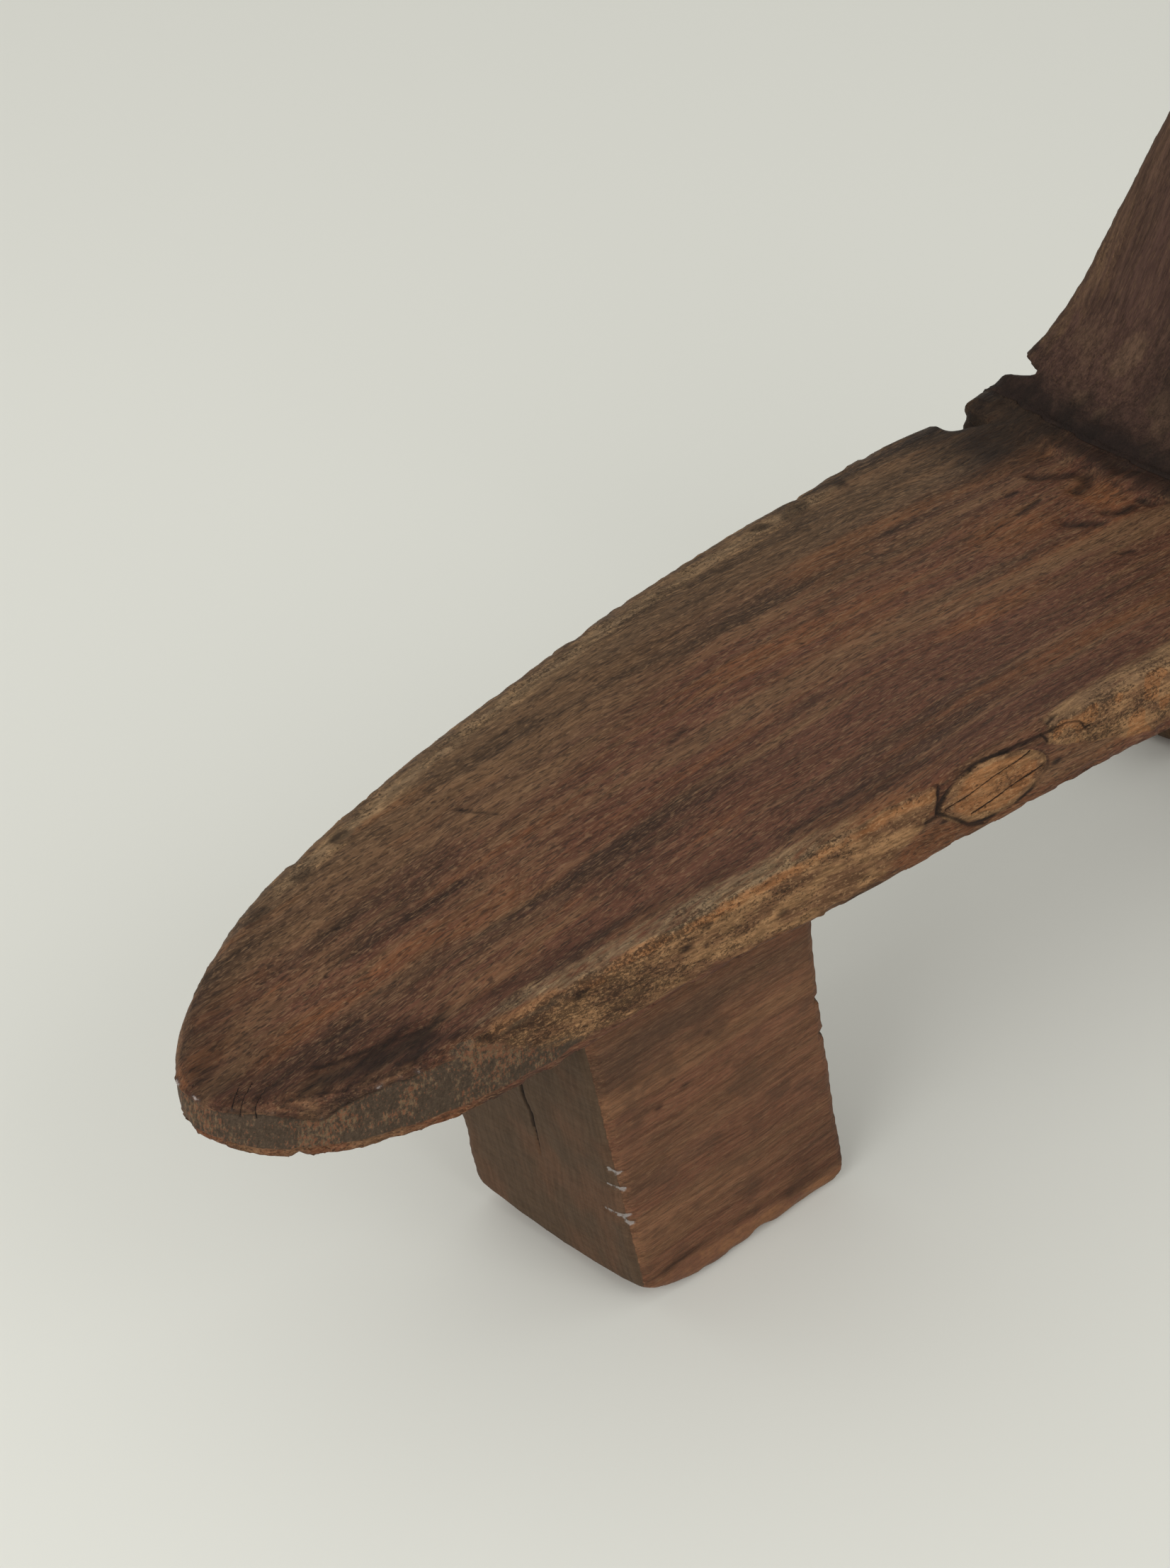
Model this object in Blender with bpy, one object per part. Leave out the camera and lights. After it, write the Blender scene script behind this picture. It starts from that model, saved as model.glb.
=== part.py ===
"""A low reclining chair hewn in the West African manner: a leaf-shaped seat, a leaning leaf-shaped
back, one raked block leg in front and two raked, splayed legs behind. Metres, +Z up, front is -Y.
The origin lies on the floor under the middle of the chair."""

import math

import bmesh
import bpy
from mathutils import Matrix, Vector

# Fits between touching pieces
JOINT_GAP = 0.0003
TENON_END_GAP = 0.001

# Seat, measured from its tip back to the crease where the back begins
SEAT_LENGTH = 0.755
SEAT_TIP_WIDTH = 0.137
SEAT_REAR_WIDTH = 0.295
SEAT_SIDE_BULGE = 0.0115
SEAT_NOSE_LENGTH = 0.145
SEAT_TIP_HEIGHT = 0.207
SEAT_NOSE_LIFT = 0.014
SEAT_NOSE_LIFT_RUN = 0.046
SEAT_REAR_HEIGHT = 0.256
SEAT_RISE_RUN = 0.560
SEAT_TIP_EDGE = 0.037
SEAT_REAR_EDGE = 0.0435
SEAT_EDGE_RUN = 0.280
SEAT_REAR_LIFT = 0.006
SEAT_REAR_LIFT_RUN = 0.040
SEAT_TIP_DISH = 0.003
SEAT_REAR_DISH = 0.015
UPPER_EDGE_ROUND = 0.009
LOWER_EDGE_ROUND = 0.004

# Back, measured from the crease up to its top along the front face
BACK_LENGTH = 0.500
BACK_SHOULDER = 0.001
BACK_BASE_WIDTH = SEAT_REAR_WIDTH - 2 * BACK_SHOULDER
BACK_TOP_WIDTH = 0.180
BACK_NOSE_LENGTH = 0.100
BACK_START_ANGLE = math.radians(16)
BACK_LEAN_ANGLE = math.radians(60)
BACK_BEND_RUN = 0.106
BACK_THICKNESS = 0.038
BACK_TOP_EDGE = 0.026
BACK_HEEL = 0.018
BACK_TOP_DISH = 0.006

# Step-shaped notch in each edge of the seat, just in front of the crease
STEP_NOTCH_OFFSET = 0.021
STEP_NOTCH_LENGTH = 0.032
STEP_NOTCH_FRONT_DEPTH = 0.016
STEP_NOTCH_REAR_DEPTH = 0.026

# V-shaped notch in each edge of the back, just above the crease; its cut runs back at a slant below level
VEE_NOTCH_OFFSET = 0.006
VEE_NOTCH_MOUTH = 0.0255
VEE_NOTCH_APEX = 0.0149
VEE_NOTCH_DEPTH = 0.0214
VEE_NOTCH_SLANT = math.radians(30)

# Front leg, placed by the front edge of its foot
FRONT_LEG_SETBACK = 0.2427
FRONT_LEG_WIDTH = 0.128
FRONT_LEG_LENGTH = 0.164
FRONT_LEG_TOP_LENGTH = 0.175
FRONT_LEG_RAKE = math.radians(13.8)

# Rear legs, placed by the front edges of their feet and by their inset from the back's edges
REAR_LEG_SETBACK = 0.149
REAR_LEG_WIDTH = 0.064
REAR_LEG_LENGTH = 0.110
REAR_LEG_TOP_LENGTH = 0.116
REAR_LEG_INSET = 0.0625
REAR_LEG_SPLAY = 0.012
REAR_LEG_RAKE = math.radians(14)

# Worn legs: rounded edges, a slight waist behind, and a toe worn up towards its two corners
LEG_EDGE_ROUND = 0.007
LEG_WAIST = 0.0035
FOOT_WEAR = 0.007
TOE_LIFT = 0.007
TOE_CORNER_LIFT = 0.007
TOE_SHARE = 1 / 3

# Blind tenons on the leg tops, and the tongue on the seat's rear end
FRONT_TENON_WIDTH = 0.060
FRONT_TENON_LENGTH = 0.090
FRONT_TENON_HEIGHT = 0.016
REAR_TENON_WIDTH = 0.028
REAR_TENON_LENGTH = 0.030
REAR_TENON_HEIGHT = 0.018
TONGUE_WIDTH = 0.150
TONGUE_THICKNESS = 0.013
TONGUE_LENGTH = 0.030

# Facets
NOSE_STEPS = 10
SEAT_BODY_STEPS = 22
BACK_BODY_STEPS = 20
COLUMNS = 8
ROUND_STEPS = 3
LEG_ROWS = 9
LEG_COLUMNS = 8
LEG_LEVELS = 5
CURVE_SAMPLES = 240

# Tolerances of the modelling steps
SLOPE_SAMPLE = 0.001
MERGE_DISTANCE = 1e-6
CUT_TOLERANCE = 1e-5
HALVINGS = 50


def clear_scene():
    for old in list(bpy.data.objects):
        bpy.data.objects.remove(old, do_unlink=True)


def wood(name, colour, roughness):
    material = bpy.data.materials.new(name)
    material.use_nodes = True
    shader = material.node_tree.nodes["Principled BSDF"]
    shader.inputs["Base Color"].default_value = (*colour, 1.0)
    shader.inputs["Roughness"].default_value = roughness
    shader.inputs["Metallic"].default_value = 0.0
    return material


def make_object(name, bm, material=None):
    bmesh.ops.recalc_face_normals(bm, faces=bm.faces[:])
    mesh = bpy.data.meshes.new(name)
    bm.to_mesh(mesh)
    bm.free()
    obj = bpy.data.objects.new(name, mesh)
    bpy.context.scene.collection.objects.link(obj)
    if material:
        mesh.materials.append(material)
        mesh.shade_smooth()
        mesh.set_sharp_from_angle(angle=math.radians(32))
    return obj


def boolean(host, operand, operation):
    operand.hide_render = True
    operand.display_type = "WIRE"
    modifier = host.modifiers.new(operand.name, "BOOLEAN")
    modifier.operation = operation
    modifier.solver = "EXACT"
    modifier.object = operand


def box(name, low, high):
    bm = bmesh.new()
    middle = (Vector(low) + Vector(high)) / 2
    size = Vector(high) - Vector(low)
    bmesh.ops.create_cube(bm, size=1.0, matrix=Matrix.Translation(middle) @ Matrix.Diagonal((*size, 1.0)))
    return make_object(name, bm)


def mix(a, b, t):
    return a + (b - a) * t


def clamp01(t):
    return min(max(t, 0.0), 1.0)


def nose(distance, length):
    """Share of the full width at a distance from a rounded, half-elliptic tip."""
    return math.sqrt(1.0 - (1.0 - clamp01(distance / length)) ** 2)


# Seat form: distances run from the tip (0) to the crease (SEAT_LENGTH); the crease is at y = 0

def seat_half_width(distance):
    along = distance / SEAT_LENGTH
    straight = mix(SEAT_TIP_WIDTH, SEAT_REAR_WIDTH, along) / 2
    bulge = SEAT_SIDE_BULGE * 4 * along * (1 - along)
    return (straight + bulge) * nose(distance, SEAT_NOSE_LENGTH)


def seat_under(distance):
    rest = 1.0 - clamp01(distance / SEAT_RISE_RUN)
    lift = 1.0 - clamp01(distance / SEAT_NOSE_LIFT_RUN)
    return mix(SEAT_REAR_HEIGHT, SEAT_TIP_HEIGHT, rest * rest) + SEAT_NOSE_LIFT * lift * lift


def seat_edge(distance):
    rest = 1.0 - clamp01(distance / SEAT_EDGE_RUN)
    lift = 1.0 - clamp01(distance / SEAT_NOSE_LIFT_RUN)
    rear = 1.0 - clamp01((SEAT_LENGTH - distance) / SEAT_REAR_LIFT_RUN)
    edge = mix(SEAT_REAR_EDGE, SEAT_TIP_EDGE, rest * rest)
    return edge - SEAT_NOSE_LIFT * lift * lift + SEAT_REAR_LIFT * rear * rear


def seat_section(distance):
    y = distance - SEAT_LENGTH
    under = seat_under(distance)
    return Vector((0, y, under)), Vector((0, y, under + seat_edge(distance)))


def seat_dish(distance):
    return mix(SEAT_TIP_DISH, SEAT_REAR_DISH, distance / SEAT_LENGTH)


def seat_under_at(y):
    return seat_under(y + SEAT_LENGTH)


# Back form: distances run from the crease (0) up the front face to the top (BACK_LENGTH)

def back_front(distance):
    """Point of the front face's edge: an arc that steepens over the bend, then a straight run."""
    turn = BACK_LEAN_ANGLE - BACK_START_ANGLE
    arc = min(distance, BACK_BEND_RUN)
    radius = BACK_BEND_RUN / turn
    angle = BACK_START_ANGLE + arc / radius
    straight = distance - arc
    y = radius * (math.sin(angle) - math.sin(BACK_START_ANGLE)) + straight * math.cos(angle)
    z = radius * (math.cos(BACK_START_ANGLE) - math.cos(angle)) + straight * math.sin(angle)
    return Vector((0, y, SEAT_REAR_HEIGHT + seat_edge(SEAT_LENGTH) + z))


def back_depth(distance):
    """Thickness: the seat's edge at the crease, a heel that is fullest a third of the way round the bend,
    then thinning to the top."""
    bend = clamp01(distance / BACK_BEND_RUN)
    above = clamp01((distance - BACK_BEND_RUN) / (BACK_LENGTH - BACK_BEND_RUN))
    heel = BACK_HEEL * 27 / 4 * bend * (1 - bend) ** 2
    return mix(mix(seat_edge(SEAT_LENGTH), BACK_THICKNESS, bend), BACK_TOP_EDGE, above) + heel


def back_rear(distance):
    """Point of the rear face: straight below the crease at first, square to the face above the bend."""
    turn = BACK_LEAN_ANGLE * clamp01(distance / BACK_BEND_RUN)
    return back_front(distance) + back_depth(distance) * Vector((0, math.sin(turn), -math.cos(turn)))


def back_half_width(distance):
    leaf = mix(BACK_BASE_WIDTH, BACK_TOP_WIDTH, distance / BACK_LENGTH) / 2
    lug = clamp01(1.0 - distance / (VEE_NOTCH_OFFSET + VEE_NOTCH_MOUTH))
    flare = (SEAT_REAR_WIDTH - BACK_BASE_WIDTH) / 2 * lug
    return (leaf + flare) * nose(BACK_LENGTH - distance, BACK_NOSE_LENGTH)


def back_dish(distance):
    return mix(SEAT_REAR_DISH, BACK_TOP_DISH, distance / BACK_LENGTH)


def back_under_curve():
    """Rear face of the back in the side view, moved out by the joint gap, as (y, z) points."""
    points = [back_rear(BACK_LENGTH * i / CURVE_SAMPLES) for i in range(CURVE_SAMPLES + 1)]
    moved = []
    for here, after in zip(points, points[1:]):
        run = (after - here).normalized()
        moved.append(here + JOINT_GAP * Vector((0, run.z, -run.y)))
    return moved


def height_on(curve, y):
    for here, after in zip(curve, curve[1:]):
        if y <= after.y:
            return mix(here.z, after.z, (y - here.y) / (after.y - here.y))
    return curve[-1].z


# Plates: lofts from a rounded tip to a flat joint end, with rounded edges and a dished upper face

def edge_profile(depth):
    """Inset and height of the points round one edge, from the lower face to the upper face."""
    quarter = [math.pi / 2 * i / ROUND_STEPS for i in range(ROUND_STEPS + 1)]
    fillet = [(1 - math.sin(a), 1 - math.cos(a)) for a in quarter]
    lower = [(LOWER_EDGE_ROUND * inset, LOWER_EDGE_ROUND * rise) for inset, rise in fillet]
    upper = [(UPPER_EDGE_ROUND * inset, depth - UPPER_EDGE_ROUND * rise) for inset, rise in fillet]
    return lower + upper[::-1]


def tip_distances(length, nose_length, body_steps):
    """Distances from the tip: close together round the nose, even along the body."""
    quarter = [math.pi / 2 * i / NOSE_STEPS for i in range(NOSE_STEPS)]
    round_part = [nose_length * (1 - math.cos(a)) for a in quarter]
    body = [mix(nose_length, length, i / body_steps) for i in range(body_steps + 1)]
    return round_part + body


def outline_normal(half_width, distance, length):
    """Outward direction of the outline as (across, along the distance)."""
    if distance <= 0:
        return 0.0, -1.0
    if distance >= length:
        return 1.0, 0.0
    step = min(distance, length - distance, SLOPE_SAMPLE) / 2
    slope = (half_width(distance + step) - half_width(distance - step)) / (2 * step)
    size = math.hypot(1.0, slope)
    return 1.0 / size, -slope / size


def plate(name, distances, half_width, section, dish, material):
    """Loft closed rings from the tip to the joint end. section gives the lower and upper line's points."""
    length = distances[-1]
    bm = bmesh.new()
    rings = []
    for distance in distances:
        low, high = section(distance)
        across, along = outline_normal(half_width, distance, length)
        edge = []
        for inset, height in edge_profile((high - low).length):
            x = max(half_width(distance) - inset * across, 0.0)
            edge.append((x, distance - inset * along, height / (high - low).length))

        def place(x, at, share):
            lower, upper = section(at)
            width = max(half_width(distance), MERGE_DISTANCE)
            hollow = dish(at) * (1 - min(abs(x) / width, 1.0) ** 2)
            rise = upper - lower
            return lower + rise * share * (1 - hollow / rise.length) + Vector((x, 0, 0))

        inner = [1 - 2 * i / COLUMNS for i in range(1, COLUMNS)]
        first, last = edge[0], edge[-1]
        ring = [place(x, at, share) for x, at, share in edge]
        ring += [place(last[0] * i, last[1], 1.0) for i in inner]
        ring += [place(-x, at, share) for x, at, share in reversed(edge)]
        ring += [place(-first[0] * i, first[1], 0.0) for i in inner]
        rings.append([bm.verts.new(point) for point in ring])
    for here, after in zip(rings, rings[1:]):
        for i in range(len(here)):
            j = (i + 1) % len(here)
            bm.faces.new((here[i], here[j], after[j], after[i]))
    bm.faces.new(rings[-1])
    bmesh.ops.remove_doubles(bm, verts=bm.verts[:], dist=MERGE_DISTANCE)
    bmesh.ops.dissolve_degenerate(bm, edges=bm.edges[:], dist=MERGE_DISTANCE)
    return make_object(name, bm, material)


def prism(name, outline, low, high, place):
    """Straight-sided cutter on both sides of the chair: an outline of (x, distance) points, swept from low
    to high and put in place."""
    bm = bmesh.new()
    for side in (1, -1):
        face = bm.faces.new([bm.verts.new((side * x, at, low)) for x, at in outline])
        grown = bmesh.ops.extrude_face_region(bm, geom=[face])
        moved = [v for v in grown["geom"] if isinstance(v, bmesh.types.BMVert)]
        bmesh.ops.translate(bm, verts=moved, vec=(0, 0, high - low))
    for vert in bm.verts:
        vert.co = place(*vert.co)
    return make_object(name, bm)


def make_seat(material):
    distances = tip_distances(SEAT_LENGTH, SEAT_NOSE_LENGTH, SEAT_BODY_STEPS)
    seat = plate("seat", distances, seat_half_width, seat_section, seat_dish, material)

    rear = -STEP_NOTCH_OFFSET
    front = rear - STEP_NOTCH_LENGTH
    edge = seat_half_width(SEAT_LENGTH + rear)
    outside = SEAT_REAR_WIDTH
    outline = [
        (outside, front),
        (edge - STEP_NOTCH_FRONT_DEPTH, front),
        (edge - STEP_NOTCH_REAR_DEPTH, rear),
        (outside, rear),
    ]
    above = SEAT_REAR_HEIGHT + 2 * SEAT_REAR_EDGE
    notches = prism("step_notches", outline, 0.0, above, lambda x, y, z: (x, y, z))
    boolean(seat, notches, "DIFFERENCE")

    tongue = box("seat_tongue", *tongue_box(-TONGUE_LENGTH, TONGUE_LENGTH, 0.0))
    boolean(seat, tongue, "UNION")
    return seat


def tongue_box(y_from, y_to, clearance):
    middle = SEAT_REAR_HEIGHT + (SEAT_REAR_EDGE - SEAT_REAR_DISH) / 2
    x = TONGUE_WIDTH / 2 + clearance
    z = TONGUE_THICKNESS / 2 + clearance
    return (-x, y_from, middle - z), (x, y_to, middle + z)


def make_back(material):
    tip = tip_distances(BACK_LENGTH, BACK_NOSE_LENGTH, BACK_BODY_STEPS)
    back = plate(
        "backrest",
        tip,
        lambda q: back_half_width(BACK_LENGTH - q),
        lambda q: back_section(BACK_LENGTH - q),
        lambda q: back_dish(BACK_LENGTH - q),
        material,
    )

    lower = VEE_NOTCH_OFFSET
    upper = VEE_NOTCH_OFFSET + VEE_NOTCH_MOUTH
    outside = SEAT_REAR_WIDTH
    corner = back_half_width(upper)
    slope = VEE_NOTCH_APEX / VEE_NOTCH_DEPTH
    outline = [
        (corner - VEE_NOTCH_DEPTH, lower + VEE_NOTCH_APEX),
        (outside, lower - slope * (outside - corner)),
        (outside, upper),
        (corner, upper),
    ]

    slant = Vector((0, math.cos(VEE_NOTCH_SLANT), -math.sin(VEE_NOTCH_SLANT)))

    def place(x, at, depth):
        face = back_section(max(at, 0.0))[1]
        return face + Vector((x, min(at, 0.0), 0)) + slant * depth

    ahead = -VEE_NOTCH_DEPTH
    behind = 2 * (SEAT_REAR_EDGE + BACK_HEEL)
    notches = prism("vee_notches", outline, ahead, behind, place)
    boolean(back, notches, "DIFFERENCE")

    groove = box("tongue_groove", *tongue_box(-TONGUE_LENGTH, TONGUE_LENGTH + TENON_END_GAP, JOINT_GAP))
    boolean(back, groove, "DIFFERENCE")
    return back


def back_section(distance):
    joint = Vector((0, JOINT_GAP, 0))
    return back_rear(distance) + joint, back_front(distance) + joint


# Legs: blocks with worn edges, raked, with tops that follow the face above and carry a blind tenon

def contact_height(y_floor, rake, under):
    """Height at which a raked line from the floor meets the face above it."""
    low, high = 0.0, SEAT_REAR_HEIGHT + BACK_LENGTH
    for _ in range(HALVINGS):
        middle = (low + high) / 2
        if middle < under(y_floor - math.tan(rake) * middle):
            low = middle
        else:
            high = middle
    return low


def toe_lift(x, y, width, length):
    """Height to which the sole is worn up, at a place counted from the middle and from the toe's edge."""
    run = length * TOE_SHARE
    toe = clamp01(1 - y / run) ** 2
    corner = clamp01(1 - (width / 2 - abs(x)) / run) ** 2
    return toe * (TOE_LIFT + TOE_CORNER_LIFT * corner)


def make_leg(name, x_top, splay, y_floor, width, lengths, rake, under, tenon, material):
    """Returns the leg and the box that its tenon fills. lengths are the foot's and the top's."""
    tenon_width, tenon_length, tenon_height = tenon
    length, top_length = lengths
    taper = top_length / length
    nominal = SEAT_REAR_HEIGHT
    bm = bmesh.new()
    size = Matrix.Diagonal((width, length, nominal, 1.0))
    bmesh.ops.create_cube(bm, size=1.0, matrix=Matrix.Translation((0, length / 2, nominal / 2)) @ size)
    upright = [e for e in bm.edges if abs(e.verts[0].co.z - e.verts[1].co.z) > nominal / 2]
    bmesh.ops.bevel(bm, geom=upright, offset=LEG_EDGE_ROUND, offset_type="OFFSET", segments=2,
                    profile=0.5, affect="EDGES", material=-1)
    sole = [e for e in bm.edges if max(v.co.z for v in e.verts) < nominal / 2]
    bmesh.ops.bevel(bm, geom=sole, offset=FOOT_WEAR, offset_type="OFFSET", segments=3,
                    profile=0.5, affect="EDGES", material=-1)

    y_tenon = (length - tenon_length / taper) / 2, (length + tenon_length / taper) / 2
    rows = [length * i / LEG_ROWS for i in range(1, LEG_ROWS)]
    cuts = [(Vector((0, y, 0)), Vector((0, 1, 0))) for y in [*rows, *y_tenon]]
    columns = [width * (i / LEG_COLUMNS - 0.5) for i in range(1, LEG_COLUMNS)]
    cuts += [(Vector((x, 0, 0)), Vector((1, 0, 0))) for x in [*columns, -tenon_width / 2, tenon_width / 2]]
    foot = 2 * FOOT_WEAR
    levels = [mix(foot, nominal, i / LEG_LEVELS) for i in range(LEG_LEVELS)]
    cuts += [(Vector((0, 0, z)), Vector((0, 0, 1))) for z in levels]
    for point, normal in cuts:
        geom = bm.verts[:] + bm.edges[:] + bm.faces[:]
        bmesh.ops.bisect_plane(bm, geom=geom, plane_co=point, plane_no=normal, dist=CUT_TOLERANCE)

    def in_tenon(face):
        centre = face.calc_center_median()
        across = abs(centre.x) < tenon_width / 2
        on_top = centre.z > nominal - CUT_TOLERANCE
        return on_top and across and y_tenon[0] < centre.y < y_tenon[1]

    root = [f for f in bm.faces if in_tenon(f)]
    for vert in bm.verts:
        x, y, z = vert.co
        top = contact_height(y_floor + y * taper, rake, under)
        lift = toe_lift(x, y, width, length)
        rise = z + lift if z <= foot else mix(foot + lift, top, (z - foot) / (nominal - foot))
        waist = LEG_WAIST * math.sin(math.pi * z / nominal) * y / length
        place = Vector((x_top + x, y_floor + y * mix(1.0, taper, z / nominal) - waist, rise))
        vert.co = place + Vector((splay * (1 - rise / top), -math.tan(rake) * rise, 0))

    grown = bmesh.ops.extrude_face_region(bm, geom=root)
    raised = [v for v in grown["geom"] if isinstance(v, bmesh.types.BMVert)]
    bmesh.ops.delete(bm, geom=root, context="FACES_KEEP_BOUNDARY")
    end = max(v.co.z for v in raised) + tenon_height
    low = Vector([min(v.co[i] for v in raised) for i in range(3)])
    high = Vector([max(v.co[i] for v in raised) for i in range(3)])
    for vert in raised:
        vert.co.z = end
    high.z = end
    return make_object(name, bm, material), (low, high)


def mortise(name, host, tenon_box):
    low, high = tenon_box
    side = Vector((JOINT_GAP, JOINT_GAP, 0))
    depth = Vector((0, 0, SEAT_REAR_EDGE))
    cutter = box(name, low - side - depth, high + side + Vector((0, 0, TENON_END_GAP)))
    boolean(host, cutter, "DIFFERENCE")


def make_front_leg(seat, material):
    leg, tenon_box = make_leg(
        "front_leg",
        0.0,
        0.0,
        FRONT_LEG_SETBACK - SEAT_LENGTH,
        FRONT_LEG_WIDTH,
        (FRONT_LEG_LENGTH, FRONT_LEG_TOP_LENGTH),
        FRONT_LEG_RAKE,
        lambda y: seat_under_at(y) - JOINT_GAP,
        (FRONT_TENON_WIDTH, FRONT_TENON_LENGTH, FRONT_TENON_HEIGHT),
        material,
    )
    mortise("front_mortise", seat, tenon_box)
    return leg


def make_rear_leg(name, side, back, material):
    curve = back_under_curve()
    leg, tenon_box = make_leg(
        name,
        side * (BACK_BASE_WIDTH / 2 - REAR_LEG_INSET),
        side * REAR_LEG_SPLAY,
        REAR_LEG_SETBACK,
        REAR_LEG_WIDTH,
        (REAR_LEG_LENGTH, REAR_LEG_TOP_LENGTH),
        REAR_LEG_RAKE,
        lambda y: height_on(curve, y - JOINT_GAP),
        (REAR_TENON_WIDTH, REAR_TENON_LENGTH, REAR_TENON_HEIGHT),
        material,
    )
    mortise(name + "_mortise", back, tenon_box)
    return leg


def stand_on_origin(pieces):
    """Carry every piece on one empty, so that the origin is on the floor under the box's middle."""
    bpy.context.view_layer.update()
    graph = bpy.context.evaluated_depsgraph_get()
    ys = []
    for piece in pieces:
        shape = piece.evaluated_get(graph)
        ys += [corner[1] for corner in shape.bound_box]
    chair = bpy.data.objects.new("chair", None)
    bpy.context.scene.collection.objects.link(chair)
    for obj in list(bpy.data.objects):
        if obj is not chair:
            obj.parent = chair
    chair.location.y = -(min(ys) + max(ys)) / 2


def main():
    clear_scene()
    seat = make_seat(wood("seat_wood", (0.105, 0.045, 0.026), 0.42))
    back = make_back(wood("backrest_wood", (0.088, 0.040, 0.025), 0.45))
    front = make_front_leg(seat, wood("front_leg_wood", (0.120, 0.048, 0.028), 0.48))
    left = make_rear_leg("rear_leg_left", 1, back, wood("rear_leg_left_wood", (0.110, 0.046, 0.027), 0.5))
    right = make_rear_leg("rear_leg_right", -1, back, wood("rear_leg_right_wood", (0.110, 0.046, 0.027), 0.5))
    stand_on_origin([seat, back, front, left, right])


main()
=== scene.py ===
"""Looks of a low chair hewn from dark hardwood: the frame's solids, worn, chipped and checked, in oiled
heartwood with paler sapwood along the seat's edges. Metres, +Z up, the front is -Y."""

import math

import bmesh
import bpy
import numpy as np
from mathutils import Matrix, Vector, noise


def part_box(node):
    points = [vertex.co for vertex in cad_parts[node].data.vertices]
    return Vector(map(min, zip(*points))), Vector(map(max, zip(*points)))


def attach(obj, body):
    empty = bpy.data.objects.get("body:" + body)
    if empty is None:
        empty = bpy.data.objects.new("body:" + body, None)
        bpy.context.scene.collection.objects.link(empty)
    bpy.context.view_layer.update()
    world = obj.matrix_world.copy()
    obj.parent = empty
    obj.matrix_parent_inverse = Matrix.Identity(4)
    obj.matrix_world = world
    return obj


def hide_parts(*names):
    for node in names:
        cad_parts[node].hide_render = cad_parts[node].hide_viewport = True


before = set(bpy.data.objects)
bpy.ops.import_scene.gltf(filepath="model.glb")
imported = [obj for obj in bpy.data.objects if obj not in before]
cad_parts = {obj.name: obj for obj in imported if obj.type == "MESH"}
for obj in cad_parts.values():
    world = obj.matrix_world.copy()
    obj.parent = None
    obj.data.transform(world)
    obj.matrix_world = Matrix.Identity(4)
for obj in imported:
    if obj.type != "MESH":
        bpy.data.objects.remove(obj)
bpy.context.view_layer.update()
seat_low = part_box("seat")[0]
back_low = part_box("backrest")[0]
leg_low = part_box("front_leg")[0]

# Camera, set off from the seat's tip
CAMERA_SIDE = 0.9533
CAMERA_AHEAD = 0.6953
CAMERA_HEIGHT = 1.1584
CAMERA_TILT = math.radians(57.5)
CAMERA_TURN = math.radians(45)
CAMERA_LENS = 73.17

# Studio
DOME_COLOUR = (0.700, 0.700, 0.672)
FLOOR_COLOUR = (0.712, 0.712, 0.664)
LAMP_SIZE = 2.7
LAMPS = {
    "front_light": ((0.9, -4.5, 2.0), 122.0),
    "right_light": ((3.9, -0.45, 2.9), 54.0),
    "left_light": ((-3.6, -1.5, 2.9), 13.0),
}

# Mesh spacing of each piece
SEAT_SPACING = 0.0032
BACK_SPACING = 0.0027
LEG_SPACING = 0.0020

# Number that sets each piece's noise apart from the others'
SEEDS = {"seat": 11, "backrest": 12, "front_leg": 13, "rear_leg_left": 14, "rear_leg_right": 15}

# Surfaces of the wood and the floor
WOOD_SPECULAR = 0.06
COAT_ROUGHNESS = 0.28
BUMP_DEPTH = 0.0004
FLOOR_SIZE = 30.0
FLOOR_ROUGHNESS = 0.9
FLOOR_SPECULAR = 0.2

# How the grain wanders: repeats in a metre and reach of a slow drift and of a small curl
DRIFT_SCALE = (7, 2.2, 7)
DRIFT_REACH = (0.022, 0.0, 0.010)
CURL_SCALE = (26, 16, 26)
CURL_REACH = (0.006, 0.0, 0.004)

# How far apart the seeds lie in the noise of shaders, specks and carving
PATTERN_STEP = (7.31, 3.17, 5.93)
SPECK_STEP = (0.37, 0.71, 0.53)
CARVING_STEP = 3.7

# The back leans at this angle, and its grain runs up it
BACK_LEAN = math.radians(60)

# The crease between the seat and the back, counted from the seat's tip
CREASE = back_low.y - seat_low.y


def tone(red, green, blue):
    """A colour given as it looks on a screen, 0 to 255, in the linear values that shaders take."""
    shares = [value / 255 for value in (red, green, blue)]
    return tuple(s / 12.92 if s <= 0.04045 else ((s + 0.055) / 1.055) ** 2.4 for s in shares)


# Wood colours
HEART_DARK = tone(42, 33, 27)
HEART_RED = tone(84, 54, 41)
HEART_OLIVE = tone(80, 62, 46)
HEART_TAN = tone(102, 76, 54)
HEART_ORANGE = tone(110, 70, 42)
FIBRE_LIGHT = tone(138, 108, 80)
# Black of age stains, also painted as shade in the crease and on the back
STAIN_AND_SHADE_BLACK = tone(26, 21, 19)
SAP_TAN = tone(130, 98, 68)
SAP_BROWN = tone(96, 69, 49)
SAP_STRAW = tone(164, 130, 94)
SAP_GREY = tone(113, 97, 76)
SAP_ORANGE = tone(134, 88, 53)
END_OLIVE = tone(71, 59, 48)
END_TAN = tone(110, 90, 68)
RUST = tone(104, 68, 49)
BACK_BROWN = tone(77, 56, 48)
BACK_TAN = tone(94, 72, 58)
LEG_DARK = tone(72, 53, 41)
LEG_RED = tone(99, 66, 49)
LEG_TAN = tone(108, 77, 55)
LEG_END = tone(74, 59, 46)
WORN_TAN = tone(128, 88, 58)
# Painted highlight: the light grey of glints on the tip's lip
GLINT_HIGHLIGHT = tone(166, 156, 152)
# Painted highlight: the light grey of glints on the leg's chips
GLINT_GREY = tone(158, 156, 154)
DUST = tone(190, 182, 172)


# Shader kit

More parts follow.
